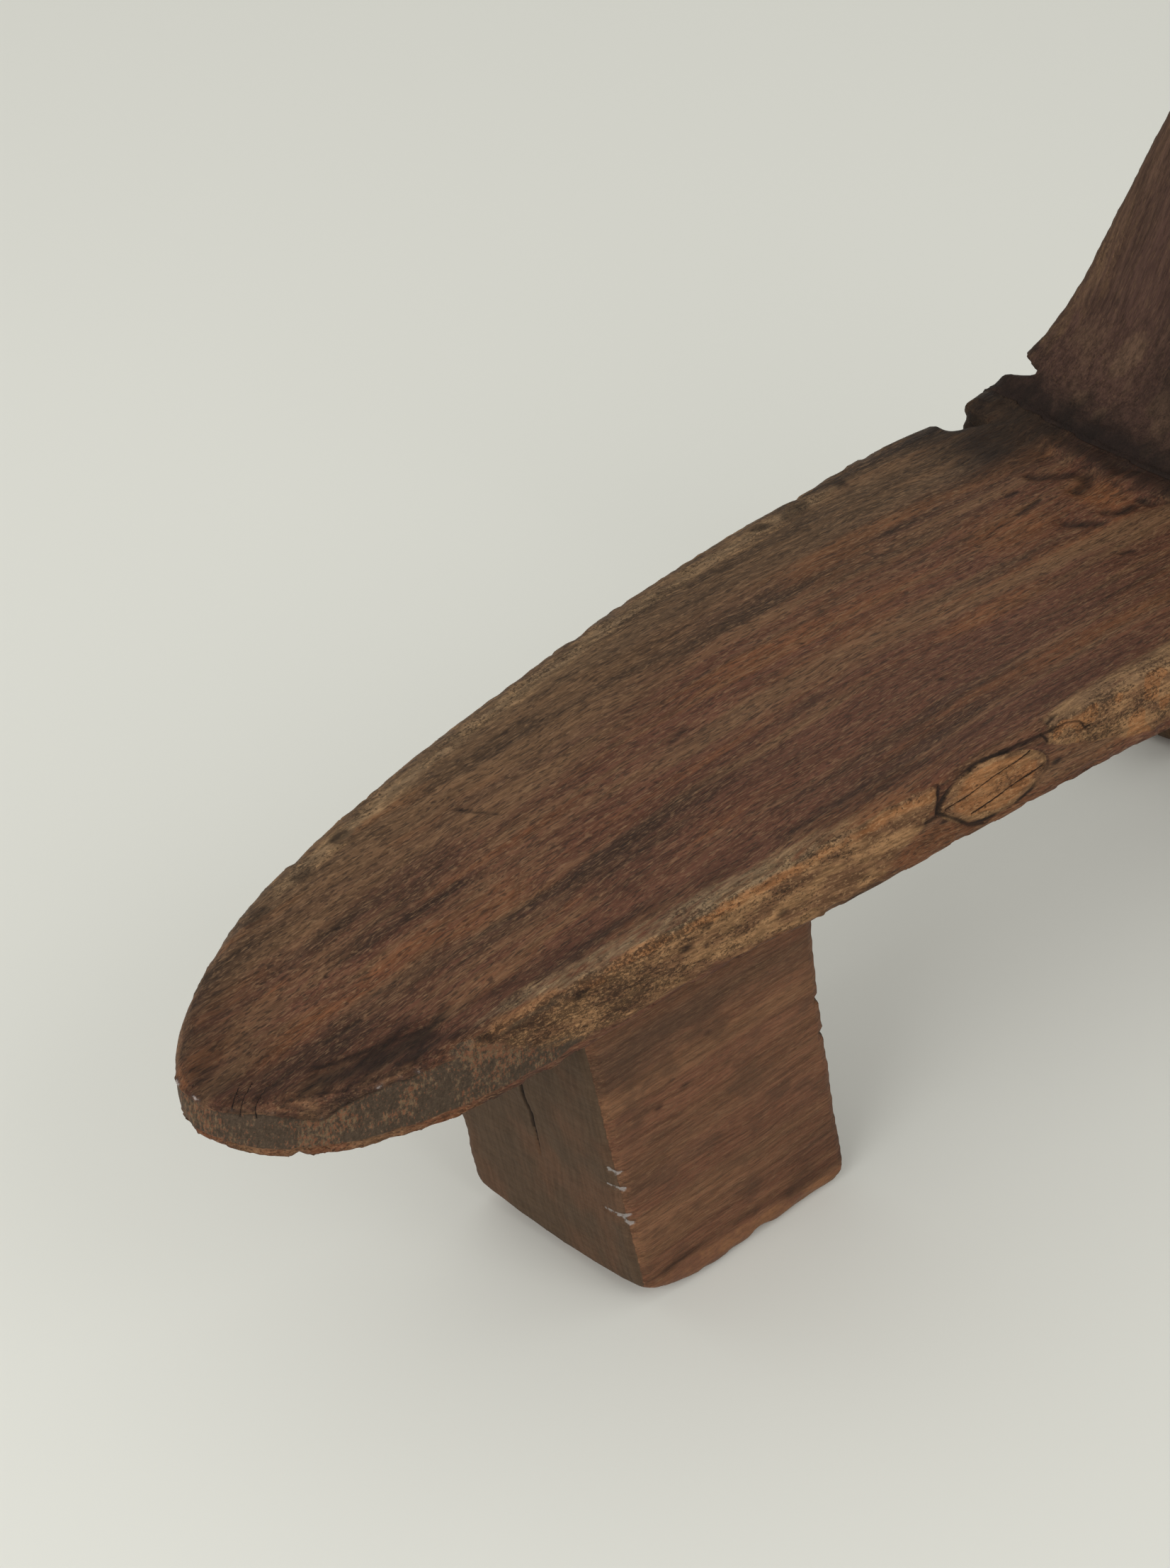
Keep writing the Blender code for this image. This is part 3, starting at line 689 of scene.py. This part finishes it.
LIP_WIDTH = 0.0045
LIP_HEIGHT = 0.0011
GLINT_WIDTH = 0.0026
CHIP_DEPTH = 0.0012
CHIP_HEIGHT = 0.0030
HOLLOW_DEPTH = 0.0016
SPOT_DEPTH = 0.0005
VALLEY_DEPTH = 0.0008


def make_seat():
    piece = fine_copy("seat", SEAT_SPACING)
    origin = Vector((0, seat_low.y, seat_low.z))

    # Finer mesh on the near side, about the oval, at the tip and before the crease
    split_faces(piece, origin, lambda c, n: c.x > -0.02 and abs(n.z) < 0.93 and c.y < 0.60)
    split_faces(piece, origin, lambda c, n: c.x > 0 and abs(n.z) < 0.93 and 0.375 < c.y < 0.53)
    split_faces(piece, origin, lambda c, n: c.y < 0.11 and c.x > -0.05 and n.z > -0.5)
    split_faces(piece, origin, lambda c, n: 0.66 < c.y < CREASE and n.z > 0.5)

    # Sides and edges of the seat, and its hand-worked surface with nicks along the lower edges
    carving = Carving(piece, origin, SEEDS["seat"])
    x, along, height = carving.at.T
    upward = carving.normal[:, 2]
    top = step(0.35, 0.85, upward)
    under = step(0.35, 0.85, -upward)
    upright = step(0.92, 0.80, upward) * step(-0.92, -0.75, upward)
    near = (x > 0) * upright
    far = (x < 0) * upright
    rim = np.abs(upward) < 0.5
    low_edge = follow(envelope(along[rim], height[rim], np.min), along)
    inset = follow(envelope(along, np.abs(x), np.max), along) - np.abs(x)
    free = step(0.0, 0.006, CREASE - along)
    wear(carving, swell=0.0006, hew=0.0013, hewn=under, chip_depth=0.0016, free=free)
    nicks = step(0.1, 0.7, carving.ripple(0.011, 7, (1, 1.4, 1)))
    carving.press(EDGE_NICK * nicks * (near + far) * step(0.006, 0.001, height - low_edge) * free)

    # Broad colour: redder in the middle and at the tip, amber patches towards the crease
    behind = step(0.25, 0.45, along)
    ruddy = step(-0.085 - 0.020 * behind, -0.005 - 0.050 * behind, x)
    carving.mark("ruddy", np.maximum(ruddy, step(0.08, 0.03, along)))
    for place_x, place_along, wide, long in AMBER_PATCHES:
        patch = carving.spot(TOP, (place_x, place_along), (wide, long))
        carving.mark("amber", top * step(1.0, 0.3, patch) * 0.55)

    # Sapwood along the near side, with a grey band on its rim and an orange ridge between them
    margin = follow(SAP_LOWER, along) - height
    reach = step(0.085, 0.125, along) * step(SAP_END + 0.0020, SAP_END - 0.0020, along)
    above = step(0.009, -0.009, margin) * step(-0.002, 0.004, height - low_edge)
    carving.mark("pale", near * above * reach)
    pits = 0.05 + 0.36 * step(0.36, 0.26, along) + 0.44 * step(0.24, 0.15, along)
    pits += 0.10 * step(0.38, 0.40, along) + 0.30 * step(0.46, 0.48, along)
    carving.mark("pits", (x > 0) * (near * pits + top * 0.25))
    grey_band = top * step(-0.010, 0.003, x - follow(GREY_INNER, along)) * (x > 0)
    carving.mark("pale", grey_band * reach * step(0.07, 0.15, along) * step(0.40, 0.31, along) * 0.56)
    carving.mark("grey", grey_band * 0.75 * step(0.38, 0.26, along))
    ridge = carving.path(SPACE, ORANGE_RIDGE, RIDGE_WIDTH)
    carving.mark("orange", ridge * (0.70 + 0.30 * step(0.19, 0.12, along)))
    carving.mark("pits", near * ridge * step(0.34, 0.14, along))
    for place in SIDE_BLOTS:
        carving.mark("stain_and_shade", near * step(1.0, 0.2, carving.spot(SIDE, place, BLOT_RADII)) * 0.7)
    low_near = (x > 0) * step(0.030, 0.0, inset) * step(0.014, 0.0, height - low_edge)
    carving.slide(2, -LOWER_REAR_EDGE * low_near * between(0.30, 0.66, 0.02, along))
    carving.slide(2, -LOWER_TIP_EDGE * low_near * between(0.05, 0.16, 0.02, along))
    # A darker strip on the top, just inside the grey band
    strip = x - follow(DARK_STRIP, along)
    carving.mark("stain_and_shade", top * step(0.016, 0.0, np.abs(strip)) * between(0.06, 0.60, 0.05, along) * 0.44)

    # Weathered far rim, fuller than the solid's and drawn in under the tip
    carving.slide(0, -follow(FAR_FULLER, along) * (x < 0) * step(0.045, 0.0, inset))
    carving.press(-FAR_SWELL * far * between(0.600, 0.690, 0.020, along))
    low_far = far * step(0.080, 0.040, along) * step(0.014, 0.002, height - low_edge)
    carving.press(FAR_DRAWN_IN * low_far * step(0.0, -0.015, x))
    far_rim = (x < 0) * between(0.006, 0.019, 0.006, inset)
    carving.mark("pale", (top * far_rim * 0.70 + far * 0.5) * between(0.10, 0.60, 0.04, along))
    carving.mark("grey", far_rim * 0.6)
    carving.mark("pits", (x < 0) * 0.4)
    blots = step(0.25, 0.6, carving.ripple(0.013, 24, (1, 1.6, 1)))
    carving.mark("stain_and_shade", far_rim * blots * between(0.08, 0.66, 0.03, along) * 0.7)
    # A thin dark line along the far top edge, partly an edge line and partly painted shade over the light
    # on the rounded rim
    carving.mark("stain_and_shade", (x < 0) * top * step(0.005, 0.001, inset) * 0.55)
    carving.mark("stain_and_shade", (x < 0) * top * between(0.024, 0.045, 0.010, inset) * 0.28)

    # Oval island of sapwood with its dark outline and cracks
    oval = carving.spot(SIDE, OVAL_CENTRE, OVAL_RADII, OVAL_TURN)
    carving.mark("pale", near * step(1.02, 0.98, oval))
    beside = (x > 0) & (upward < 0.9) & (along > SAP_END - 0.01) & (along < 0.49)
    outline = (oval - 1.0) * OVAL_RADII[1]
    carving.set_distance("oval", beside, outline)
    carving.mark("inked", beside * step(-0.60, 0.0, carving.ripple(0.020, 21)))
    carving.mark("orange", near * step(1.0, 0.7, oval) * 0.85)
    carving.press(OVAL_GROOVE * near * step(0.0016, 0.0003, np.abs(outline)))
    for points in ZONE_LINES:
        carving.mark("stain_and_shade", near * carving.path(SIDE, points, 0.0024))
        carving.mark("stain_and_shade", near * carving.path(SIDE, points, 0.0080) * 0.5)
        carving.press(ZONE_GROOVE * near * carving.path(SIDE, points, 0.0016))
    for points in OVAL_CRACKS:
        carving.split(SIDE, points, beside, OVAL_CRACK, OVAL_CRACK)

    # Worm-eaten sapwood behind the oval
    eaten = (x > 0) * step(0.4640, 0.4760, along) * step(0.66, 0.60, along)
    carving.mark("pale", near * eaten * step(-0.002, 0.002, height - follow(WORM_LOWER, along)))
    carving.mark("pale", top * eaten * step(-0.003, 0.003, x - follow(WORM_UPPER, along)) * 0.7)
    carving.mark("grey", top * eaten * 0.3)
    carving.mark("orange", near * eaten * step(0.0, 0.5, carving.ripple(0.012, 25)) * 0.9)
    for axes, points in WORM_TRACKS:
        track = (near if axes is SIDE else top) * carving.path(axes, points, WORM_WIDTH)
        carving.mark("stain_and_shade", track * 0.85)
        carving.press(WORM_DEPTH * track)

    # Bare tip with a polished ridge and painted highlights along its lip, drying cracks and a chip
    nose = step(0.125, 0.09, along)
    below = follow([(p[0], p[2]) for p in TIP_RIDGE], x) - height
    flank = nose * step(0.9, 0.5, upward) * step(0.0, 0.0025, below)
    carving.press(FLANK_DEPTH * flank * step(-0.7, -0.2, upward))
    bare = np.maximum(flank, near * step(0.08, 0.11, along)) * step(0.002, 0.007, height - low_edge)
    carving.mark("raw", bare * step(0.20, 0.13, along) * step(-0.8, -0.4, upward))
    carving.mark("amber", near * nose * step(0.008, 0.002, height - low_edge) * 0.3)
    lip = carving.path(SPACE, TIP_RIDGE, LIP_WIDTH)
    carving.press(-LIP_HEIGHT * lip * step(-0.5, 0.5, carving.ripple(0.006, 29)))
    # Painted highlights: broken glints of light along the lip, glossier and painted light grey
    glints = step(0.0, 0.5, carving.ripple(0.006, 22))
    carving.mark("worn", carving.path(SPACE, TIP_RIDGE, GLINT_WIDTH) * glints)
    carving.mark("stain_and_shade", carving.path(SPACE, TIP_RIDGE, 0.0120) * step(-0.001, -0.004, below) * 0.85)
    carving.mark("stain_and_shade", lip * 0.66)
    for points in TIP_CRACKS:
        carving.split(TOP, points, (along < 0.05) & (upward > 0.25), 0.0008, 0.0014)
    chip = np.linalg.norm(carving.at - np.array(TIP_CHIP), axis=1)
    carving.press(CHIP_DEPTH * step(0.006, 0.002, chip))
    carving.slide(2, CHIP_HEIGHT * step(0.0065, 0.0030, chip))

    # Dark worn hollow behind the tip, and the dark marks and spots of use
    hollow = top * carving.path(TOP, HOLLOW_MIDDLE, 0.0180)
    carving.mark("stain_and_shade", hollow * 0.90)
    veins = 0.75 + 0.45 * carving.ripple(0.005, 30, (1, 7, 1))
    carving.mark("stain_and_shade", top * carving.path(TOP, HOLLOW_MIDDLE, 0.0380) * veins)
    carving.press(HOLLOW_DEPTH * step(0.2, 0.8, hollow))
    carving.mark("stain_and_shade", top * carving.path(TOP, HOLLOW_RIM, 0.0036))
    carving.mark("stain_and_shade", top * step(0.110, 0.010, along) * 0.60)
    for points, width, depth in TOP_MARKS:
        line = top * carving.path(TOP, points, width)
        carving.mark("stain_and_shade", line * 0.75)
        carving.press(depth * line)
    for place_x, place_along, radius in TOP_SPOTS:
        pit = top * step(1.0, 0.2, carving.spot(TOP, (place_x, place_along), (radius * 0.7, radius)))
        carving.mark("stain_and_shade", pit * 0.8)
        carving.press(SPOT_DEPTH * pit)

    # Dark crease and far corner beside the back, with darkened gouges, all painted shade; the end runs a
    # little into the back to close the seam
    before = CREASE - along
    carving.mark("stain_and_shade", (upward > -0.5) * step(0.042, 0.004, before) * 0.90)
    corner = step(-0.035, -0.105, x) * step(0.150, 0.040, before)
    carving.mark("stain_and_shade", (upward > -0.5) * corner * 0.85)
    gouges = top * step(0.060, 0.015, before) * step(0.2, 0.6, carving.ripple(0.016, 23, (1, 1.3, 1)))
    carving.press(GOUGE_DEPTH * gouges * free)
    carving.mark("stain_and_shade", gouges * 0.5)
    carving.press(VALLEY_DEPTH * top * step(0.016, 0.004, before))
    carving.press(-SEAM_OVERLAP * (np.abs(before) < 0.004) * step(0.2, 0.5, carving.normal[:, 1]))

    masks = ["pale", "grey", "orange", "pits", "ruddy", "amber", "raw", "stain_and_shade", "inked", "worn"]
    carving.apply(masks, ["oval", "split"])
    dress(piece, seat_finish(), "seat")


# Backrest: places are x, the distance behind the crease, and the height above the back's lowest point

BACK_PATCHES = (
    (-0.0433, 0.0410, 0.012), (-0.0337, 0.0327, 0.012), (-0.0805, 0.0594, 0.014),
    (-0.0825, 0.0497, 0.012), (-0.0898, 0.0233, 0.008), (-0.0729, 0.0206, 0.008),
    (-0.0301, 0.0100, 0.007), (-0.0180, 0.0110, 0.007),
)
BACK_VALLEY_DEPTH = 0.0018


def make_backrest():
    piece = fine_copy("backrest", BACK_SPACING)
    carving = Carving(piece, (0, back_low.y, back_low.z), SEEDS["backrest"])
    x, behind, height = carving.at.T
    face = step(0.2, 0.7, carving.normal[:, 2])
    rear = step(0.2, 0.7, -carving.normal[:, 2])
    free = step(0.0, 0.006, behind)
    rise = behind * math.cos(BACK_LEAN) + height * math.sin(BACK_LEAN)
    inset = follow(envelope(rise, np.abs(x), np.max), rise) - np.abs(x)
    wear(carving, swell=0.0007, hew=0.0014, hewn=rear, chip_depth=0.0013, free=free)

    # Pale rubbed edges and tan patches on a face darkened as painted shade
    edge = step(0.030, 0.010, inset) * step(0.015, 0.035, behind)
    carving.mark("pale", edge * (0.30 + 0.25 * carving.ripple(0.040, 26, (1, 2, 2))))
    carving.mark("grey", edge * 0.5)
    for place_x, place_behind, size in BACK_PATCHES:
        patch = carving.spot(TOP, (place_x, place_behind), (size * 0.8, size))
        carving.mark("amber", face * step(1.1, 0.2, patch))
    # Painted shade over the whole face, uneven
    carving.mark("stain_and_shade", face * (0.28 + 0.22 * carving.ripple(0.05, 27, (1, 2, 2))))

    # Dark valley with darkened gouges at the crease, painted shade; the end runs a little into the seat to
    # close the seam
    carving.mark("stain_and_shade", (carving.normal[:, 2] > -0.3) * step(0.045, 0.004, behind) * 0.88)
    gouges = face * step(0.055, 0.01, behind) * step(0.15, 0.6, carving.ripple(0.018, 23, (1, 1, 1.3)))
    carving.press(GOUGE_DEPTH * gouges * free)
    carving.mark("stain_and_shade", gouges * 0.5)
    carving.press(BACK_VALLEY_DEPTH * face * step(0.016, 0.004, behind))
    carving.press(-SEAM_OVERLAP * (behind < 0.004) * step(0.2, 0.5, -carving.normal[:, 1]))
    carving.apply(["pale", "grey", "amber", "stain_and_shade", "worn"])
    dress(piece, backrest_finish(), "backrest")


# Legs: places are x, the distance behind the leg's foremost point, and the height above the floor

CHECK_CRACK = (
    (0.0830, 0.0014), (0.0910, 0.0018), (0.1044, 0.0022), (0.1158, 0.0031), (0.1273, 0.0009),
    (0.1450, 0.0012),
)
GLINTING_CHIPS = (
    ((0.0588, 0.1102), (0.0625, 0.1070)),
    ((0.0552, 0.0963), (0.0625, 0.0951)),
    ((0.0474, 0.0715), (0.0625, 0.0741)),
    ((0.0600, 0.0709), (0.0625, 0.0673)),
)
LEG_SPOTS = ((0.0626, 0.1348), (0.0728, 0.1474), (0.0824, 0.1384), (0.0986, 0.1642))
LEG_NICKS = ((0.1872, 0.1388), (0.1921, 0.1137))
FOOT_LINE = ((0.0615, 0.0176), (0.0810, 0.0194), (0.1120, 0.0183), (0.1414, 0.0165), (0.1764, 0.0135))
FOOT_ROUND = 0.030
FOOT_FLARE = 0.0022
FOOT_RAGGED = 0.0024
FAR_SIDE_FULLER = 0.0030
CHECK_DEPTH = 0.0018
CHECK_WIDTH = 0.0016
CHECK_MOUTH = 0.0030
GLINTING_CHIP_WIDTH = 0.0028
GLINTING_CHIP_DEPTH = 0.0012
LEG_SPOT_RADII = (0.007, 0.004)
LEG_NICK_RADII = (0.006, 0.004)
LEG_NICK_DEPTH = 0.0025
LEG_MASKS = ["worn", "raw", "stain_and_shade", "chip_glint"]


def make_leg(node, origin):
    """A leg worn at the foot; returns it and its carving, still open."""
    piece = fine_copy(node, LEG_SPACING)
    if node == "front_leg":
        split_faces(piece, origin, lambda c, n: n.y < -0.3 and c.z < 0.19)
    carving = Carving(piece, origin, SEEDS[node])
    height = carving.at[:, 2]
    upward = carving.normal[:, 2]
    free = step(0.0, 0.004, height) * step(0.95, 0.6, upward)
    wear(carving, swell=0.0007, hew=0.0007, hewn=np.ones(len(height)), chip_depth=0.0016, free=free)
    carving.mark("raw", step(0.55, 0.8, np.abs(carving.normal[:, 1])))
    carving.mark("worn", step(0.012, 0.004, height) * 0.8)
    return piece, carving


def make_front_leg():
    piece, carving = make_leg("front_leg", Vector((0, leg_low.y, leg_low.z)))
    x, along, height = carving.at.T
    front = step(0.5, 0.8, -carving.normal[:, 1])
    near = step(0.5, 0.8, carving.normal[:, 0])
    fuller = FAR_SIDE_FULLER + FAR_SIDE_FULLER * step(0.060, 0.010, height)
    carving.slide(0, -fuller * step(-0.02, -0.06, x))
    carving.round_edge(along.max() - FOOT_ROUND, FOOT_ROUND, FOOT_ROUND)
    carving.slide(0, FOOT_FLARE * near * step(0.020, 0.006, height))
    carving.split(UPRIGHT, CHECK_CRACK, front > 0.5, CHECK_DEPTH, CHECK_WIDTH)
    carving.mark("stain_and_shade", front * carving.path(UPRIGHT, CHECK_CRACK[2:], CHECK_MOUTH))
    # Chips along the near front edge, pressed in, with painted highlights on them
    for a, b in GLINTING_CHIPS:
        chip = carving.strip(FRONT, a, b, GLINTING_CHIP_WIDTH) * step(0.0, 0.4, -carving.normal[:, 1])
        carving.mark("chip_glint", chip)
        carving.press(GLINTING_CHIP_DEPTH * chip)
    for place in LEG_SPOTS:
        carving.mark("stain_and_shade", near * step(1.0, 0.1, carving.spot(SIDE, place, LEG_SPOT_RADII)) * 0.7)
    for place in LEG_NICKS:
        nick = step(1.0, 0.2, carving.spot(SIDE, place, LEG_NICK_RADII))
        carving.press(LEG_NICK_DEPTH * nick * (x > 0))
    foot = height - follow(FOOT_LINE, along)
    carving.mark("stain_and_shade", near * step(0.006, 0.0, np.abs(foot - 0.002)) * 0.62)
    ragged = step(-0.1, 0.7, carving.ripple(0.014, 28, (1, 1.5, 1)))
    carving.slide(0, -FOOT_RAGGED * ragged * step(0.040, 0.058, x) * step(0.012, 0.003, height))
    carving.mark("worn", near * step(0.0, -0.003, foot) * 0.7)
    cloud = step(0.075, 0.015, height) * step(0.13, 0.19, along) * step(0.0, 0.004, foot)
    carving.mark("stain_and_shade", near * cloud * 0.5)
    carving.apply(LEG_MASKS, ["split"])
    dress(piece, leg_finish("front_leg_worn_wood"), "front_leg")


def make_rear_legs():
    material = leg_finish("rear_leg_worn_wood")
    for node in ("rear_leg_left", "rear_leg_right"):
        piece, carving = make_leg(node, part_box(node)[0])
        carving.apply(LEG_MASKS, ["split"])
        dress(piece, material, node)


def dress(piece, material, node):
    piece.data.materials.append(material)
    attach(piece, "root")
    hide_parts(node)


# Studio

def camera_and_light():
    scene = bpy.context.scene
    data = bpy.data.cameras.new("camera")
    data.lens = CAMERA_LENS
    camera = bpy.data.objects.new("camera", data)
    camera.location = (CAMERA_SIDE, seat_low.y - CAMERA_AHEAD, CAMERA_HEIGHT)
    camera.rotation_euler = (CAMERA_TILT, 0, CAMERA_TURN)
    scene.collection.objects.link(camera)
    scene.camera = camera
    scene.view_settings.view_transform = "Standard"

    world = bpy.data.worlds.new("studio")
    scene.world = world
    world.use_nodes = True
    world.node_tree.nodes["Background"].inputs["Color"].default_value = (*DOME_COLOUR, 1)

    for name, (place, power) in LAMPS.items():
        light = bpy.data.lights.new(name, "AREA")
        light.size = LAMP_SIZE
        light.energy = power
        lamp = bpy.data.objects.new(name, light)
        lamp.location = place
        aim = Vector((0, 0, seat_low.z)) - lamp.location
        lamp.rotation_euler = aim.to_track_quat("-Z", "Y").to_euler()
        scene.collection.objects.link(lamp)


def make_floor():
    bm = bmesh.new()
    bmesh.ops.create_grid(bm, x_segments=1, y_segments=1, size=FLOOR_SIZE)
    mesh = bpy.data.meshes.new("floor")
    bm.to_mesh(mesh)
    bm.free()
    floor = bpy.data.objects.new("floor", mesh)
    bpy.context.scene.collection.objects.link(floor)
    material = bpy.data.materials.new("pale_floor")
    material.use_nodes = True
    shader = material.node_tree.nodes["Principled BSDF"]
    shader.inputs["Base Color"].default_value = (*FLOOR_COLOUR, 1)
    shader.inputs["Roughness"].default_value = FLOOR_ROUGHNESS
    shader.inputs["Specular IOR Level"].default_value = FLOOR_SPECULAR
    mesh.materials.append(material)


camera_and_light()
make_floor()
make_seat()
make_backrest()
make_front_leg()
make_rear_legs()
